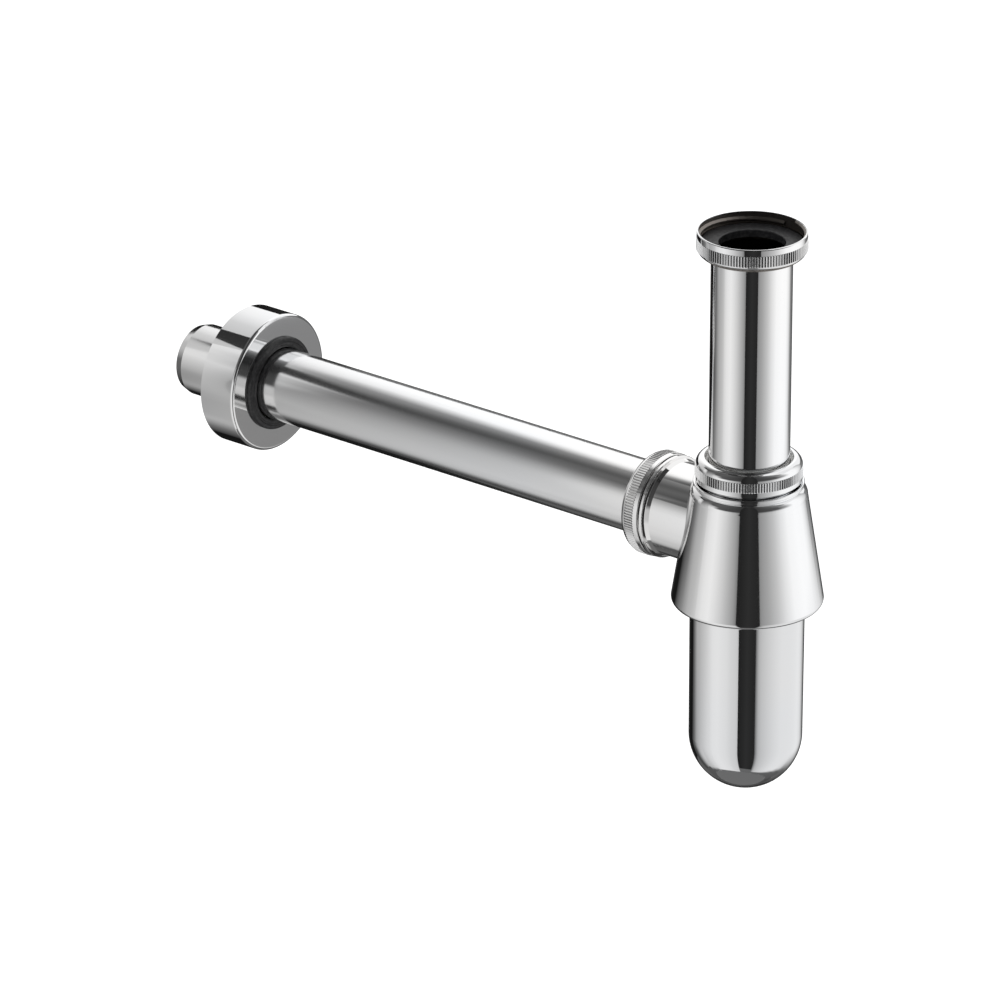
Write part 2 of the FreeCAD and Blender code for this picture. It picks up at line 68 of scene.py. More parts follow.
def set_camera():
    """Stand the camera so that the trap lies in the picture as in the photograph."""
    data = bpy.data.cameras.new("camera")
    data.sensor_width = SENSOR_MM
    data.lens = FOCAL_PIXELS / IMAGE_WIDTH * SENSOR_MM
    data.clip_start = NEAREST_SEEN
    data.clip_end = FARTHEST_SEEN
    camera = bpy.data.objects.new("camera", data)
    bpy.context.scene.collection.objects.link(camera)
    pixel = CAMERA_DISTANCE / FOCAL_PIXELS
    right, up = BODY_MIDDLE_PIXELS
    place = BODY_MIDDLE + to_camera * CAMERA_DISTANCE
    place -= picture_right * (right * pixel) + picture_up * (up * pixel)
    turn = Matrix((picture_right, picture_up, to_camera)).transposed()
    camera.matrix_world = Matrix.Translation(place) @ turn.to_4x4()
    bpy.context.scene.camera = camera


set_camera()

# Making objects and materials


def new_object(name, shape, material, smooth=False):
    """A bmesh as a mesh object in the scene."""
    mesh = bpy.data.meshes.new(name)
    shape.to_mesh(mesh)
    shape.free()
    for face in mesh.polygons:
        face.use_smooth = smooth
    mesh.materials.append(material)
    made = bpy.data.objects.new(name, mesh)
    bpy.context.scene.collection.objects.link(made)
    return made


def link(tree, source, target):
    tree.links.new(source, target)


def feed(tree, value, socket):
    """Set a socket to a number or a colour, or link another node's output to it."""
    if isinstance(value, (int, float)):
        socket.default_value = value
    elif isinstance(value, tuple):
        socket.default_value = (*value, 1.0)
    else:
        link(tree, value, socket)


def new_material(name, kind="ShaderNodeBsdfPrincipled"):
    """A material, its node tree, and the shader on its output."""
    material = bpy.data.materials.new(name)
    material.use_nodes = True
    tree = material.node_tree
    tree.nodes.clear()
    output = tree.nodes.new("ShaderNodeOutputMaterial")
    shader = tree.nodes.new(kind)
    link(tree, shader.outputs[0], output.inputs["Surface"])
    return material, tree, shader


def new_group(name, inputs, outputs):
    """A node group.  Inputs are names and usual values, outputs names and kinds."""
    group = bpy.data.node_groups.new(name, "ShaderNodeTree")
    for socket, usual in inputs.items():
        made = group.interface.new_socket(
            socket, in_out="INPUT", socket_type="NodeSocketFloat")
        made.default_value = usual
    for socket, kind in outputs.items():
        group.interface.new_socket(socket, in_out="OUTPUT", socket_type=kind)
    return group, group.nodes.new("NodeGroupInput"), group.nodes.new("NodeGroupOutput")


def add_group(tree, group, **values):
    """Place a node group.  An underscore in a value's name stands for a space."""
    node = tree.nodes.new("ShaderNodeGroup")
    node.node_tree = group
    for name, value in values.items():
        node.inputs[name.replace("_", " ")].default_value = value
    return node


def math_node(tree, operation, *values):
    node = tree.nodes.new("ShaderNodeMath")
    node.operation = operation
    for socket, value in zip(node.inputs, values):
        feed(tree, value, socket)
    return node.outputs[0]


def sum_of_products(tree, a, b, c, d):
    """a times b, plus c times d."""
    return math_node(
        tree, "ADD", math_node(tree, "MULTIPLY", a, b), math_node(tree, "MULTIPLY", c, d))


def add_where(tree, value, mask, extra):
    """A value, with the extra added as far as the mask says."""
    return math_node(tree, "ADD", value, math_node(tree, "MULTIPLY", mask, extra))


def mapped(tree, value, low, high, new_low, new_high):
    """A value that runs from low to high, turned into one from new_low to new_high."""
    node = tree.nodes.new("ShaderNodeMapRange")
    for name, given in (
        ("Value", value), ("From Min", low), ("From Max", high),
        ("To Min", new_low), ("To Max", new_high),
    ):
        feed(tree, given, node.inputs[name])
    return node.outputs["Result"]


def mix_colour(tree, factor, first, second):
    node = tree.nodes.new("ShaderNodeMix")
    node.data_type = "RGBA"
    link(tree, factor, node.inputs["Factor"])
    for name, value in (("A", first), ("B", second)):
        feed(tree, value, next(s for s in node.inputs if s.name == name and s.type == "RGBA"))
    return next(s for s in node.outputs if s.type == "RGBA")


def object_point(tree):
    return tree.nodes.new("ShaderNodeTexCoord").outputs["Object"]


def noise(tree, point, scale, detail=3.0):
    node = tree.nodes.new("ShaderNodeTexNoise")
    node.inputs["Scale"].default_value = scale
    node.inputs["Detail"].default_value = detail
    link(tree, point, node.inputs["Vector"])
    return node.outputs["Fac"]


MOST_NOISE = (0.3, 0.7)  # nearly all of a noise lies between these


def patches(tree, point, scale, low=0.0, high=1.0):
    """Soft patches, from low to high."""
    return mapped(tree, noise(tree, point, scale), *MOST_NOISE, low, high)


def bump(tree, pattern, height, strength):
    """The normal of a surface on which a pattern stands out."""
    node = tree.nodes.new("ShaderNodeBump")
    node.inputs["Distance"].default_value = height
    feed(tree, strength, node.inputs["Strength"])
    link(tree, pattern, node.inputs["Height"])
    return node.outputs["Normal"]


# Effects that several materials share.  A scale is about how many marks of a
# pattern lie in a metre.

HAZE_SCALE = 55.0
WAVE_SCALE = 22.0
WAVE_HEIGHT = 0.4 * MM
TINT_SCALE = 12.0


def make_polish_group():
    """Buffing haze in the gloss, and the faint waviness of a plated surface."""
    group, given, made = new_group(
        "polish",
        {"Gloss": 0.05, "Haze": 0.03, "Wave": 0.05},
        {"Roughness": "NodeSocketFloat", "Normal": "NodeSocketVector",
         "Tint": "NodeSocketFloat"})
    point = object_point(group)
    haze = noise(group, point, HAZE_SCALE, detail=4.0)
    rough = add_where(group, given.outputs["Gloss"], haze, given.outputs["Haze"])
    link(group, rough, made.inputs["Roughness"])
    wave = noise(group, point, WAVE_SCALE, detail=1.0)
    normal = bump(group, wave, WAVE_HEIGHT, given.outputs["Wave"])
    link(group, normal, made.inputs["Normal"])
    link(group, patches(group, point, TINT_SCALE), made.inputs["Tint"])
    return group


def make_turned_bands_group():
    """Masks what lies within a radius of a turned piece's axis, and what lies
    outside it, both only between two heights along the axis.  The axis is the
    inlet tube's, or where Along Y is 1, the outlet pipe's."""
    group, given, made = new_group(
        "bands_of_turned_piece",
        {"Along Y": 0.0, "Radius": 0.01, "Start": -1.0, "End": 1.0},
        {"Inside": "NodeSocketFloat", "Outside": "NodeSocketFloat"})
    parts = group.nodes.new("ShaderNodeSeparateXYZ")
    link(group, object_point(group), parts.inputs[0])
    x, y, z = parts.outputs["X"], parts.outputs["Y"], parts.outputs["Z"]
    above_outlet = math_node(group, "SUBTRACT", z, OUTLET_AXIS_Z)
    along_y = given.outputs["Along Y"]
    along_z = math_node(group, "SUBTRACT", 1.0, along_y)
    side = sum_of_products(group, y, along_z, above_outlet, along_y)
    along = sum_of_products(group, z, along_z, y, along_y)
    distance = math_node(group, "SQRT", sum_of_products(group, x, x, side, side))
    within = math_node(group, "LESS_THAN", distance, given.outputs["Radius"])
    beyond = math_node(group, "SUBTRACT", 1.0, within)
    after = math_node(group, "GREATER_THAN", along, given.outputs["Start"])
    before = math_node(group, "LESS_THAN", along, given.outputs["End"])
    band = math_node(group, "MULTIPLY", after, before)
    link(group, math_node(group, "MULTIPLY", within, band), made.inputs["Inside"])
    link(group, math_node(group, "MULTIPLY", beyond, band), made.inputs["Outside"])
    return group


polish = make_polish_group()
bands_of_turned_piece = make_turned_bands_group()

# Chrome plate

CHROME_COOL = (0.86, 0.87, 0.885)
CHROME_WARM = (0.89, 0.885, 0.88)
# Near-black inside the tube, the pipe and the flange's hollow: painted shade over rough brass.
RAW_BRASS_AND_PAINTED_SHADE = (0.05, 0.045, 0.036)
# Dark warm grey inside the union nut: painted shade over thinly plated metal.
THIN_PLATE_AND_PAINTED_SHADE = (0.31, 0.285, 0.26)
BORE_ROUGHNESS = 0.4    # added to the plate's own
KNURL_ROUGHNESS = 0.14  # added to the plate's own

# Parts of the turned pieces with their own finish; in the bores and hollows this includes
# painted shade.  Start and End are measured along the piece's axis from the origin, in metres.
TUBE_BORE = {"Radius": 15.5 * MM}
PIPE_BORE = {"Along_Y": 1.0, "Radius": 14.3 * MM, "End": 282.5 * MM}
FLANGE_HOLLOW = {"Along_Y": 1.0, "Radius": 28.3 * MM, "Start": 243.0 * MM}
UNION_BORE = {"Radius": 21.0 * MM, "Start": -5.0 * MM, "End": 4.2 * MM}
UNION_KNURL = {"Radius": 21.2 * MM, "Start": -2.6 * MM, "End": 1.9 * MM}
NUT_LIP = 2.2 * MM           # plain edge before a compression nut's knurl
NUT_BAND = 4.0 * MM          # length of the knurl
NUT_KNURL_RADIUS = 20.0 * MM


def chrome(name, gloss=0.035, wave=0.05, inside=None, bore_colour_and_painted_shade=RAW_BRASS_AND_PAINTED_SHADE, knurl=None):
    """Bright chrome plate.  A given bore is rougher, less plated metal inside, with its colour
    darkened there by painted shade, and a given knurl is duller, as plating is in fine grooves."""
    material, tree, shader = new_material(name)
    marks = add_group(tree, polish, Gloss=gloss, Wave=wave)
    colour = mix_colour(tree, marks.outputs["Tint"], CHROME_COOL, CHROME_WARM)
    rough = marks.outputs["Roughness"]
    if inside is not None:
        mask = add_group(tree, bands_of_turned_piece, **inside).outputs["Inside"]
        # Painted shade: inside the bore the colour is darkened.
        colour = mix_colour(tree, mask, colour, bore_colour_and_painted_shade)
        rough = add_where(tree, rough, mask, BORE_ROUGHNESS)
    if knurl is not None:
        mask = add_group(tree, bands_of_turned_piece, **knurl).outputs["Outside"]
        rough = add_where(tree, rough, mask, KNURL_ROUGHNESS)
    shader.inputs["Metallic"].default_value = 1.0
    link(tree, colour, shader.inputs["Base Color"])
    link(tree, rough, shader.inputs["Roughness"])
    link(tree, marks.outputs["Normal"], shader.inputs["Normal"])
    return material


def nut_chrome(node, along_y=False):
    """Chrome on a compression nut, whose open end is the lowest along its axis."""
    axis = 1 if along_y else 2
    start = min(vertex.co[axis] for vertex in nodes[node].data.vertices) + NUT_LIP
    return chrome("chrome_on_" + node, knurl={
        "Along_Y": float(along_y), "Radius": NUT_KNURL_RADIUS,
        "Start": start, "End": start + NUT_BAND})


# Rubber and plastic

CLEAN_RUBBER = (0.012, 0.012, 0.013)
DUSTY_RUBBER = (0.035, 0.035, 0.036)
DUST_SCALE = 900.0
DUST_NOISE = (0.45, 0.75)       # where in the noise the dust begins and is full
RUBBER_PATCH_SCALE = 400.0
RUBBER_ROUGHNESS = (0.38, 0.55)
GRAIN_SCALE = 2500.0
GRAIN_HEIGHT = 0.06 * MM
GRAIN_STRENGTH = 0.5

DULL_PLASTIC = (0.80, 0.79, 0.76)
WHITE_PLASTIC = (0.86, 0.86, 0.84)
PLASTIC_CLOUD_SCALE = 120.0
PLASTIC_PATCH_SCALE = 300.0
PLASTIC_ROUGHNESS = (0.35, 0.5)


def black_rubber():
    """Moulded rubber with a fine grain and a little dust in it."""
    material, tree, shader = new_material("black_rubber")
    point = object_point(tree)
    dust = mapped(tree, noise(tree, point, DUST_SCALE, detail=5.0), *DUST_NOISE, 0.0, 1.0)
    colour = mix_colour(tree, dust, CLEAN_RUBBER, DUSTY_RUBBER)
    rough = patches(tree, point, RUBBER_PATCH_SCALE, *RUBBER_ROUGHNESS)
    grain = bump(tree, noise(tree, point, GRAIN_SCALE), GRAIN_HEIGHT, GRAIN_STRENGTH)
    link(tree, colour, shader.inputs["Base Color"])
    link(tree, rough, shader.inputs["Roughness"])
    link(tree, grain, shader.inputs["Normal"])
    return material


def white_slip_plastic():
    """Plain moulded plastic, a little cloudy in colour and gloss."""
    material, tree, shader = new_material("white_slip_plastic")
    point = object_point(tree)
    cloud = patches(tree, point, PLASTIC_CLOUD_SCALE)
    colour = mix_colour(tree, cloud, DULL_PLASTIC, WHITE_PLASTIC)
    rough = patches(tree, point, PLASTIC_PATCH_SCALE, *PLASTIC_ROUGHNESS)
    link(tree, colour, shader.inputs["Base Color"])
    link(tree, rough, shader.inputs["Roughness"])
    return material


rubber = black_rubber()
slip_plastic = white_slip_plastic()
turned_chrome = chrome("chrome_on_threads")
# The union nut's inner thread carries the same painted shade as the nut's bore.
thin_chrome_and_painted_shade = chrome("thin_chrome_and_painted_shade_in_union_nut", inside=UNION_BORE, bore_colour_and_painted_shade=THIN_PLATE_AND_PAINTED_SHADE)
# The tube, the pipe, the flange and the union nut have painted shade in their bores.
finishes = {
    "inlet_tube": chrome("chrome_on_inlet_tube", inside=TUBE_BORE),
    "inlet_washer": rubber,
    "inlet_union_nut": chrome(
        "chrome_on_inlet_union_nut", inside=UNION_BORE, bore_colour_and_painted_shade=THIN_PLATE_AND_PAINTED_SHADE, knurl=UNION_KNURL),
    "neck_nut": nut_chrome("neck_nut"),
    "neck_slip_ring": slip_plastic,
    "neck_seal": rubber,
    "trap_body": chrome("chrome_on_cast_body", gloss=0.05, wave=0.08),
    "outlet_nut": nut_chrome("outlet_nut", along_y=True),
    "outlet_slip_ring": slip_plastic,
    "outlet_seal": rubber,
    "outlet_pipe": chrome("chrome_on_outlet_pipe", gloss=0.12, inside=PIPE_BORE),
    "wall_flange": chrome("chrome_on_wall_flange", inside=FLANGE_HOLLOW),
    "flange_seal": rubber,
    "bottle_gasket": rubber,
    "bottle_cup": chrome("chrome_on_bottle"),
}
for name, material in finishes.items():
    mesh = nodes[name].data
    mesh.materials.clear()
    mesh.materials.append(material)

# Thread ridges, on the plain cylinders of the CAD pieces

THREAD_STEPS = 48       # in one turn
RIDGE_FOOT = 0.46       # half the ridge's width at its foot, as a share of the pitch
RIDGE_TIP = 0.1         # the same at its crest
RIDGE_SINK = 0.05 * MM  # how far the foot sinks into the wall it stands on


def thread(name, body, root, crest, pitch, start, length, along_y=False, inside=False,
           material=turned_chrome):
    """A helical ridge on a turned piece, from its root radius to its crest."""
    foot = root + (RIDGE_SINK if inside else -RIDGE_SINK)
    foot_half = pitch * RIDGE_FOOT
    tip_half = pitch * RIDGE_TIP
    shape = bmesh.new()
    section = [
        shape.verts.new((foot, 0.0, start - foot_half)),
        shape.verts.new((crest, 0.0, start - tip_half)),
        shape.verts.new((crest, 0.0, start + tip_half)),
        shape.verts.new((foot, 0.0, start + foot_half)),
    ]
    edges = [shape.edges.new(pair) for pair in zip(section, section[1:] + section[:1])]
    turns = length / pitch
    steps = round(turns * THREAD_STEPS)
    bmesh.ops.spin(
        shape, geom=section + edges, cent=(0.0, 0.0, 0.0), axis=(0.0, 0.0, 1.0),
        dvec=(0.0, 0.0, length / steps), angle=2 * math.pi * turns, steps=steps,
        use_merge=False)
    ends = [edge for edge in shape.edges if edge.is_boundary]
    bmesh.ops.holes_fill(shape, edges=ends, sides=len(section))
    bmesh.ops.recalc_face_normals(shape, faces=shape.faces[:])
    if along_y:
        from_z_to_y = Matrix.Rotation(-math.pi / 2, 3, "X")
        bmesh.ops.rotate(
            shape, verts=shape.verts[:], cent=(0.0, 0.0, 0.0), matrix=from_z_to_y)
        bmesh.ops.translate(shape, verts=shape.verts[:], vec=(0.0, 0.0, OUTLET_AXIS_Z))
    piece = new_object(name, shape, material)
    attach(piece, body)


thread("inlet_thread", "union_nut", root=20.955 * MM, crest=20.15 * MM, pitch=2.309 * MM,
       start=1.2 * MM, length=2.2 * MM, inside=True, material=thin_chrome_and_painted_shade)
thread("neck_thread", "trap_body", root=19.1 * MM, crest=19.32 * MM, pitch=1.5 * MM,
       start=-98.9 * MM, length=4.4 * MM)
thread("spigot_thread", "trap_body", root=19.1 * MM, crest=19.32 * MM, pitch=1.5 * MM,
       start=39.5 * MM, length=4.4 * MM, along_y=True)
thread("bottle_thread", "bottle_cup", root=22.8 * MM, crest=23.0 * MM, pitch=2.0 * MM,
       start=-149.5 * MM, length=7.0 * MM)

# Studio: pale floor and room, and one soft lamp

WHITE = (1.0, 1.0, 1.0)
FLOOR_Z = -1.7
FLOOR_HALF_SIDE = 30.0
FLOOR_COLOUR = (0.9, 0.9, 0.9)
FLOOR_ROUGHNESS = 0.9
FLOOR_GLOW = 0.55    # only where the floor is seen
ROOM_LIGHT = 0.75    # what the white room sheds on the trap
LAMP_SIDE = 0.9
LAMP_WATTS = 9.0
LAMP_TO_THE_LEFT = 0.9  # from the body's middle, as the picture shows it
LAMP_TO_CAMERA = 0.6
LAMP_UP = 1.0


def where_seen(tree):
    """1 where the camera, a mirror or a glass shows a surface, 0 where it only
    sheds light."""
    path = tree.nodes.new("ShaderNodeLightPath")
    through_others = math_node(
        tree, "MAXIMUM", path.outputs["Is Glossy Ray"], path.outputs["Is Transmission Ray"])
    return math_node(tree, "MAXIMUM", path.outputs["Is Camera Ray"], through_others)


def studio_floor():
    """A pale floor, brighter where it is seen."""
    shape = bmesh.new()
    bmesh.ops.create_grid(shape, x_segments=1, y_segments=1, size=FLOOR_HALF_SIDE)
    bmesh.ops.translate(shape, verts=shape.verts[:], vec=(0.0, 0.0, FLOOR_Z))
    material, tree, both = new_material("pale_floor", "ShaderNodeAddShader")
    shader = tree.nodes.new("ShaderNodeBsdfPrincipled")
    feed(tree, FLOOR_COLOUR, shader.inputs["Base Color"])
    shader.inputs["Roughness"].default_value = FLOOR_ROUGHNESS
    glow = tree.nodes.new("ShaderNodeEmission")
    feed(tree, WHITE, glow.inputs["Color"])
    link(tree, math_node(tree, "MULTIPLY", where_seen(tree), FLOOR_GLOW),
         glow.inputs["Strength"])
    link(tree, shader.outputs[0], both.inputs[0])
    link(tree, glow.outputs[0], both.inputs[1])
    floor = new_object("floor", shape, material)


def surroundings():
    """A room that is white where it is seen, and sheds a little less light."""
    world = bpy.data.worlds.new("studio")
    world.use_nodes = True
    bpy.context.scene.world = world
    tree = world.node_tree
    tree.nodes.clear()
    output = tree.nodes.new("ShaderNodeOutputWorld")
    back = tree.nodes.new("ShaderNodeBackground")
    feed(tree, WHITE, back.inputs["Color"])
    strength = mapped(tree, where_seen(tree), 0.0, 1.0, ROOM_LIGHT, 1.0)
    link(tree, strength, back.inputs["Strength"])
    link(tree, back.outputs[0], output.inputs["Surface"])


def key_lamp():
    """A soft lamp above the trap, to its left and on the camera's side.  The chrome
    doesn't mirror it."""
    data = bpy.data.lights.new("soft_key", "AREA")
    data.shape = "RECTANGLE"
    data.size = LAMP_SIDE
    data.size_y = LAMP_SIDE
    data.energy = LAMP_WATTS
    lamp = bpy.data.objects.new("soft_key", data)
    lamp.visible_glossy = False
    lamp.visible_camera = False
    place = BODY_MIDDLE + (
        -picture_right * LAMP_TO_THE_LEFT + to_camera * LAMP_TO_CAMERA
        + Vector((0, 0, LAMP_UP)))
    turn = (place - BODY_MIDDLE).to_track_quat("Z", "Y").to_matrix()
    lamp.matrix_world = Matrix.Translation(place) @ turn.to_4x4()
    bpy.context.scene.collection.objects.link(lamp)


# Tent: a round wall of soft panels and dark flags, seen only in reflections

CAMERA_DIRECTION = math.atan2(to_camera.y, to_camera.x)
TENT_RADIUS = 0.36
TENT_CENTRE = Vector((0.0, 0.1, 0.0))
PANEL_STEPS = 48
DISC_STEPS = 64
CARD_STEPS = 48
BRIGHTEST = 1.3  # no stop of a panel is brighter


def only_in_reflections(panel):
    """Show a panel in reflections alone."""
    panel.visible_camera = False
    panel.visible_diffuse = False
    panel.visible_shadow = False
    panel.visible_transmission = False


def even_glow(name, level):
    """A material that glows at one level all over."""
    material, tree, light = new_material(name, "ShaderNodeEmission")
    feed(tree, (level, level, level), light.inputs["Color"])
    return material


def tent_disc(name, height, level):
    """A flat round end of the tent."""
    shape = bmesh.new()
    bmesh.ops.create_circle(shape, cap_ends=True, radius=TENT_RADIUS, segments=DISC_STEPS)
    bmesh.ops.translate(
        shape, verts=shape.verts[:], vec=TENT_CENTRE + Vector((0.0, 0.0, height)))
    only_in_reflections(new_object(name, shape, even_glow(name, level)))


def face_card(name, level, distance, radius):
    """A small round card that stands where the wall flange's flat face mirrors it."""
    seen_along = Vector((-to_camera.x, to_camera.y, -to_camera.z))
    face = Vector((0.0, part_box("wall_flange")[0][1], OUTLET_AXIS_Z))
    shape = bmesh.new()
    bmesh.ops.create_circle(shape, cap_ends=True, radius=radius, segments=CARD_STEPS)
    turn = seen_along.to_track_quat("Z", "Y").to_matrix()
    bmesh.ops.rotate(shape, verts=shape.verts[:], cent=(0.0, 0.0, 0.0), matrix=turn)
    bmesh.ops.translate(shape, verts=shape.verts[:], vec=face + seen_along * distance)
    only_in_reflections(new_object(name, shape, even_glow(name, level)))


def ramp(tree, share, stops):
    """Brightness along a panel.  Each stop is a share of its length and a level."""
    node = tree.nodes.new("ShaderNodeValToRGB")
    band = node.color_ramp
    while len(band.elements) > 1:
        band.elements.remove(band.elements[-1])
    for index, (position, level) in enumerate(stops):
        element = band.elements.new(position) if index else band.elements[0]
        element.position = position
        grey = level / BRIGHTEST
        element.color = (grey, grey, grey, 1.0)
    link(tree, share, node.inputs["Fac"])
    return node.outputs["Color"]


def panel_glow(name, first, turn, rows):
    """A panel's material.  Each row is a height and its stops for ramp, and
    between two heights one row blends into the next."""
    material, tree, light = new_material(name, "ShaderNodeEmission")
    parts = tree.nodes.new("ShaderNodeSeparateXYZ")
    link(tree, object_point(tree), parts.inputs[0])
    x = math_node(tree, "SUBTRACT", parts.outputs["X"], TENT_CENTRE.x)
    y = math_node(tree, "SUBTRACT", parts.outputs["Y"], TENT_CENTRE.y)
    middle = first + turn / 2
    along = sum_of_products(tree, x, math.cos(middle), y, math.sin(middle))
    aside = sum_of_products(tree, y, math.cos(middle), x, -math.sin(middle))
    angle = math_node(tree, "ARCTAN2", aside, along)
    share = mapped(tree, angle, -turn / 2, turn / 2, 0.0, 1.0)
    rows = sorted(rows)
    level = ramp(tree, share, rows[0][1])
    for (lower, _), (upper, stops) in zip(rows, rows[1:]):
        blend = mapped(tree, parts.outputs["Z"], lower, upper, 0.0, 1.0)
        level = mix_colour(tree, blend, level, ramp(tree, share, stops))
    link(tree, level, light.inputs["Color"])
    light.inputs["Strength"].default_value = BRIGHTEST
    return material


def tent_panel(name, start, end, low, high, rows):
    """Part of a round tent.  Start and end are degrees from the camera, positive
    to the picture's right.  Each row is a height and its brightness stops, which
    are (degrees, level) from start to end, and rows blend into each other."""
    first = CAMERA_DIRECTION + math.radians(start)
    turn = math.radians(end - start)
    foot = TENT_CENTRE + Vector((math.cos(first), math.sin(first), 0.0)) * TENT_RADIUS
    shape = bmesh.new()
    shape.edges.new([
        shape.verts.new(foot + Vector((0.0, 0.0, low))),
        shape.verts.new(foot + Vector((0.0, 0.0, high))),
    ])
    bmesh.ops.spin(
        shape, geom=shape.verts[:] + shape.edges[:], cent=TENT_CENTRE,
        axis=(0.0, 0.0, 1.0), angle=turn, steps=PANEL_STEPS, use_merge=False)
    rows_by_share = [
        (height, [((degrees - start) / (end - start), level) for degrees, level in stops])
        for height, stops in rows]
    glow = panel_glow(name, first, turn, rows_by_share)
    only_in_reflections(new_object(name, shape, glow, smooth=True))


def one_row(*stops):
    """The rows of a panel that has the same stops at every height."""
    return [(0.0, list(stops))]


studio_floor()
surroundings()
key_lamp()

# Heights of the tent's ends, and of the seams between its panels, in metres

LID_Z = 1.0
RIGHT_SOFTBOX_TOP = 0.4
BACK_CEILING = 0.2
CARD_TOP = 0.12
LEFT_CEILING = 0.09
SHADE_TOP = -0.04
CARD_FOOT = -0.20
LEFT_FLAG_FOOT = -0.55
FRONT_TABLE_EDGE = -0.66
SHADE_FOOT = -0.76
RIGHT_TABLE_EDGE = -0.80
LEFT_TABLE_EDGE = -0.90
TABLE_Z = -0.98

# Edges of the dark gap round the camera, in degrees

GAP_LEFT = -2.5
GAP_RIGHT = 25.0

# Stops that more than one row uses

LEFT_SOFTBOX_MIDDLE = [
    (GAP_LEFT, 0.22), (-7, 0.36), (-15, 0.50), (-25, 0.68), (-35, 0.82), (-45, 0.92),
    (-58, 0.86), (-70, 0.72)]
LEFT_SHADE_MIDDLE = [(-106, 0.27), (-112, 0.18), (-120, 0.12), (-130, 0.06), (-138, 0.01)]
RIGHT_SOFTBOX_MIDDLE = [
    (GAP_RIGHT, 0.26), (28, 0.33), (35, 0.42), (45, 0.60), (55, 0.85), (65, 1.04),
    (80, 1.1), (96, 1.08), (105, 0.93), (112, 0.70), (118, 0.45)]
RIGHT_SOFTBOX_NEAR_EDGE = [(GAP_RIGHT, 0.10), (27, 0.28), (30, 0.50), (35, 0.60)]
RIGHT_SOFTBOX_LOW = RIGHT_SOFTBOX_NEAR_EDGE + [
    (45, 0.70), (55, 0.78), (65, 0.84), (80, 0.85)]

tent_disc("dark_table", TABLE_Z, 0.16)
tent_disc("dark_lid", LID_Z, 0.04)
face_card("card_for_the_flange_face", level=0.25, distance=0.26, radius=34 * MM)

# At the left, from the camera round to the wall

tent_panel("left_softbox", GAP_LEFT, -70, LEFT_TABLE_EDGE, LEFT_CEILING, [
    (0.09, [(GAP_LEFT, 0.05), (-45, 0.09), (-58, 0.34), (-70, 0.34)]),
    (-0.03, [(GAP_LEFT, 0.05), (-30, 0.07), (-45, 0.12), (-58, 0.75), (-70, 0.68)]),
    (-0.09, LEFT_SOFTBOX_MIDDLE),
    (-0.22, LEFT_SOFTBOX_MIDDLE),
    (-0.28, [(GAP_LEFT, 0.60), (-7, 0.68), (-15, 0.72), (-25, 0.80), (-45, 0.86), (-58, 0.84),
             (-70, 0.74)]),
])
tent_panel("left_softbox_far_end", -70, -92.5, TABLE_Z, LID_Z, [
    (0.5, [(-70, 0.10), (-92.5, 0.09)]),
    (0.2, [(-70, 0.05), (-76, 0.10), (-84, 0.15), (-92.5, 0.13)]),
    (0.04, [(-70, 0.42), (-80, 0.30), (-92.5, 0.18)]),
    (-0.09, [(-70, 0.58), (-80, 0.44), (-92.5, 0.30)]),
    (-0.22, [(-70, 0.66), (-80, 0.54), (-92.5, 0.46)]),
    (-0.40, [(-70, 0.76), (-80, 0.68), (-92.5, 0.58)]),
    (-0.80, [(-70, 0.76), (-80, 0.66), (-92.5, 0.55)]),
    (-0.92, [(-70, 0.50), (-75, 0.14), (-92.5, 0.12)]),
])
tent_panel("pale_card_by_the_wall", -92.5, -106, CARD_FOOT, CARD_TOP, [
    (0.09, [(-92.5, 0.13), (-97, 0.18), (-100, 0.50), (-103, 0.80), (-106, 0.85)]),
    (0.04, [(-92.5, 0.15), (-95, 0.30), (-98, 0.62), (-101, 0.78), (-106, 0.85)]),
    (-0.02, [(-92.5, 0.45), (-95, 0.70), (-98, 0.80), (-106, 0.85)]),
    (-0.20, [(-92.5, 0.46), (-106, 0.28)]),
])
tent_panel("left_shade_under_card", -92.5, -106, TABLE_Z, CARD_FOOT, [
    (-0.24, [(-92.5, 0.46), (-100, 0.36), (-106, 0.28)]),
    (-0.36, [(-92.5, 0.56), (-106, 0.46)]),
    (-0.55, [(-92.5, 0.66), (-106, 0.52)]),
    (-0.78, [(-92.5, 0.55), (-106, 0.48)]),
    (-0.88, [(-92.5, 0.12), (-106, 0.10)]),
])
tent_panel("left_shade", -106, -138, SHADE_FOOT, SHADE_TOP, [
    (-0.07, [(-106, 0.55), (-138, 0.50)]),
    (-0.13, LEFT_SHADE_MIDDLE),
    (-0.24, LEFT_SHADE_MIDDLE),
    (-0.36, [(-106, 0.46), (-113, 0.46), (-119, 0.35), (-126, 0.2), (-134, 0.08), (-138, 0.02)]),
    (-0.50, [(-106, 0.48), (-112, 0.35), (-118, 0.2), (-125, 0.08), (-138, 0.05)]),
])
tent_panel("pale_end_of_left_shade", -106, -124, SHADE_TOP, CARD_TOP,
           one_row((-106, 0.60), (-124, 0.60)))
tent_panel("left_flag", -138, -169, LEFT_FLAG_FOOT, SHADE_TOP,
           one_row((-138, 0.008), (-162, 0.01), (-169, 0.05)))

# Above the left shade, and at the back

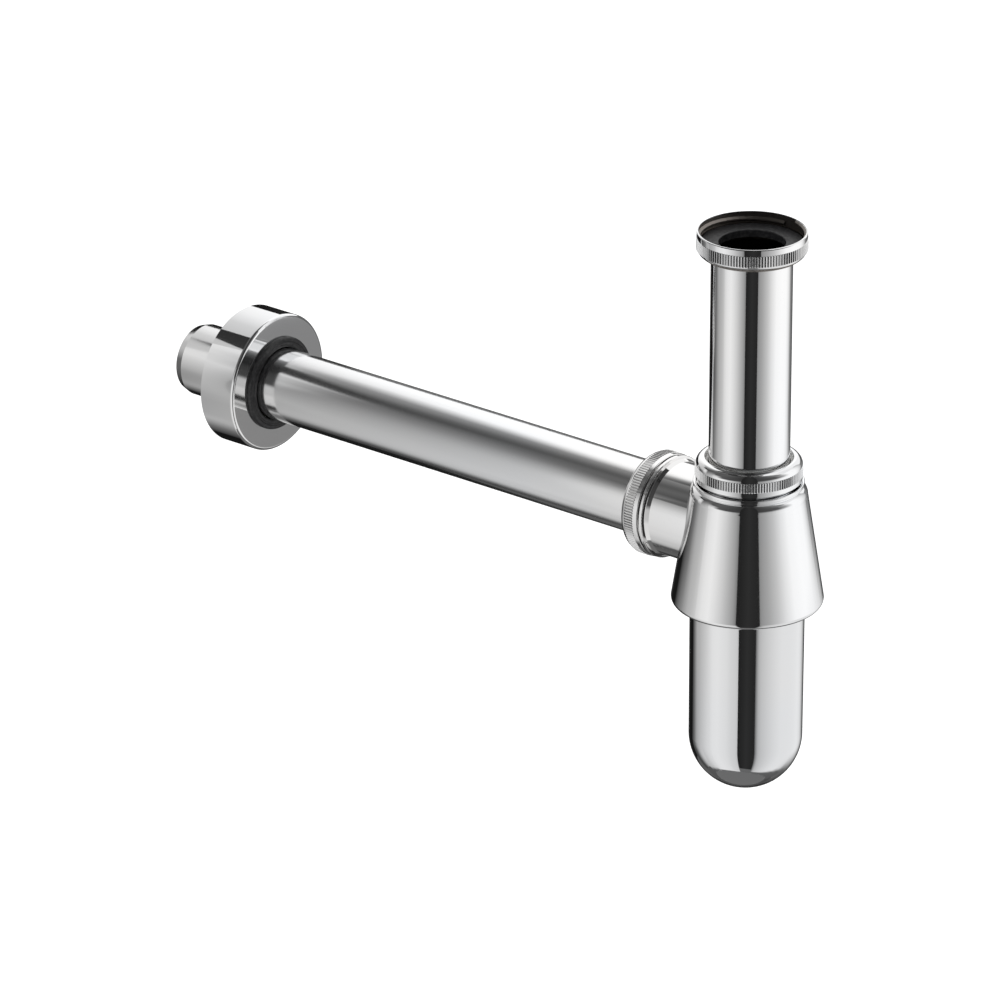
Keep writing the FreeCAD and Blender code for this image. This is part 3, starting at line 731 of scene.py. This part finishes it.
tent_panel("dark_card_above_the_wall_end", -92.5, -124, CARD_TOP, BACK_CEILING,
           one_row((-92.5, 0.13), (-100, 0.08), (-106, 0.04), (-124, 0.03)))
tent_panel("dark_above_far_end", -92.5, -124, BACK_CEILING, LID_Z, [
    (0.5, [(-92.5, 0.09), (-105, 0.15), (-117, 0.20), (-124, 0.25)]),
    (0.2, [(-92.5, 0.12), (-99, 0.07), (-110, 0.10), (-124, 0.24)]),
])
tent_panel("rear_left_fade", -124, -168, BACK_CEILING, LID_Z, [
    (0.56, [(-124, 0.06), (-168, 0.06)]),
    (0.48, [(-124, 0.25), (-131, 0.30), (-138, 0.55), (-146, 0.80), (-158, 1.1), (-168, 1.15)]),
    (0.2, [(-124, 0.24), (-131, 0.27), (-138, 0.42), (-146, 0.66), (-158, 1.1), (-168, 1.15)]),
])
tent_panel("rear_left_low", -124, -168, SHADE_TOP, BACK_CEILING,
           one_row((-124, 0.62), (-140, 0.72), (-155, 1.0), (-168, 1.15)))
tent_panel("rear_softbox", 146, 192, SHADE_TOP, LID_Z, [
    (0.56, [(146, 0.06), (192, 0.06)]),
    (0.48, [(146, 1.15), (192, 1.15)]),
])
tent_panel("rear_dark_strip", 146, 191, CARD_FOOT, SHADE_TOP,
           one_row((146, 0.15), (191, 0.15)))

# From the camera to the right, and round to the back

tent_panel("dark_room_behind_camera", GAP_LEFT, GAP_RIGHT, FRONT_TABLE_EDGE, LID_Z,
           one_row((GAP_LEFT, 0.015), (12, 0.03), (GAP_RIGHT, 0.02)))
tent_panel("right_softbox", GAP_RIGHT, 118, RIGHT_TABLE_EDGE, CARD_TOP, [
    (-0.02, [(GAP_RIGHT, 0.05), (40, 0.07), (56, 0.10), (68, 0.40), (80, 1.1), (96, 1.08),
             (105, 0.93), (112, 0.70), (118, 0.45)]),
    (-0.09, RIGHT_SOFTBOX_MIDDLE),
    (-0.20, RIGHT_SOFTBOX_MIDDLE),
    (-0.26, RIGHT_SOFTBOX_LOW + [(95, 0.87), (105, 0.90), (112, 0.88), (118, 0.82)]),
    (-0.40, RIGHT_SOFTBOX_LOW + [(95, 0.87), (105, 0.90), (112, 0.84), (118, 0.76)]),
    (-0.58, RIGHT_SOFTBOX_LOW + [(95, 0.70), (105, 0.30), (118, 0.14)]),
    (-0.65, RIGHT_SOFTBOX_NEAR_EDGE + [
        (45, 0.70), (55, 0.78), (65, 0.82), (78, 0.80), (88, 0.40), (98, 0.12), (118, 0.10)]),
    (-0.71, RIGHT_SOFTBOX_NEAR_EDGE + [
        (45, 0.70), (55, 0.76), (65, 0.74), (74, 0.40), (82, 0.13), (118, 0.10)]),
    (-0.76, RIGHT_SOFTBOX_NEAR_EDGE + [
        (45, 0.68), (55, 0.60), (63, 0.30), (70, 0.13), (118, 0.10)]),
    (-0.80, [(GAP_RIGHT, 0.10), (27, 0.26), (30, 0.45), (38, 0.50), (46, 0.40), (54, 0.20),
             (60, 0.13), (118, 0.10)]),
])
tent_panel("right_softbox_top", 75, 118, CARD_TOP, RIGHT_SOFTBOX_TOP,
           one_row((75, 0.9), (118, 0.9)))
tent_panel("right_flag", 118, 146, SHADE_FOOT, SHADE_TOP, [
    (-0.21, [(118, 0.26), (126, 0.22), (134, 0.12), (146, 0.08)]),
    (-0.27, [(118, 0.82), (124, 0.68), (130, 0.42), (138, 0.12), (146, 0.03)]),
    (-0.40, [(118, 0.76), (124, 0.60), (130, 0.36), (138, 0.12), (146, 0.03)]),
    (-0.58, [(118, 0.14), (126, 0.12), (134, 0.10), (146, 0.08)]),
])
tent_panel("rear_dark_strip_below", 146, 191, SHADE_FOOT, CARD_FOOT,
           one_row((146, 0.04), (191, 0.04)))

# Dark above the softboxes, and the table's edge round the foot of the tent

tent_panel("dark_ceiling_at_the_left", GAP_LEFT, -70, LEFT_CEILING, LID_Z,
           one_row((GAP_LEFT, 0.04), (-40, 0.09), (-70, 0.12)))
tent_panel("dark_ceiling_at_the_right", GAP_RIGHT, 75, CARD_TOP, LID_Z,
           one_row((GAP_RIGHT, 0.04), (50, 0.10), (75, 0.30)))
tent_panel("table_edge_in_front", GAP_LEFT, GAP_RIGHT, TABLE_Z, FRONT_TABLE_EDGE,
           one_row((GAP_LEFT, 0.14), (GAP_RIGHT, 0.14)))
tent_panel("table_edge_at_the_right", GAP_RIGHT, 118, TABLE_Z, RIGHT_TABLE_EDGE,
           one_row((GAP_RIGHT, 0.14), (118, 0.10)))
tent_panel("table_edge_at_the_left", GAP_LEFT, -70, TABLE_Z, LEFT_TABLE_EDGE,
           one_row((GAP_LEFT, 0.14), (-70, 0.14)))
tent_panel("table_edge_at_the_back", 118, 254, TABLE_Z, SHADE_FOOT,
           one_row((118, 0.07), (254, 0.10)))
tent_panel("table_edge_at_the_back_left", -138, -169, SHADE_FOOT, LEFT_FLAG_FOOT,
           one_row((-138, 0.10), (-169, 0.12)))

scene = bpy.context.scene
scene.view_settings.view_transform = "Standard"
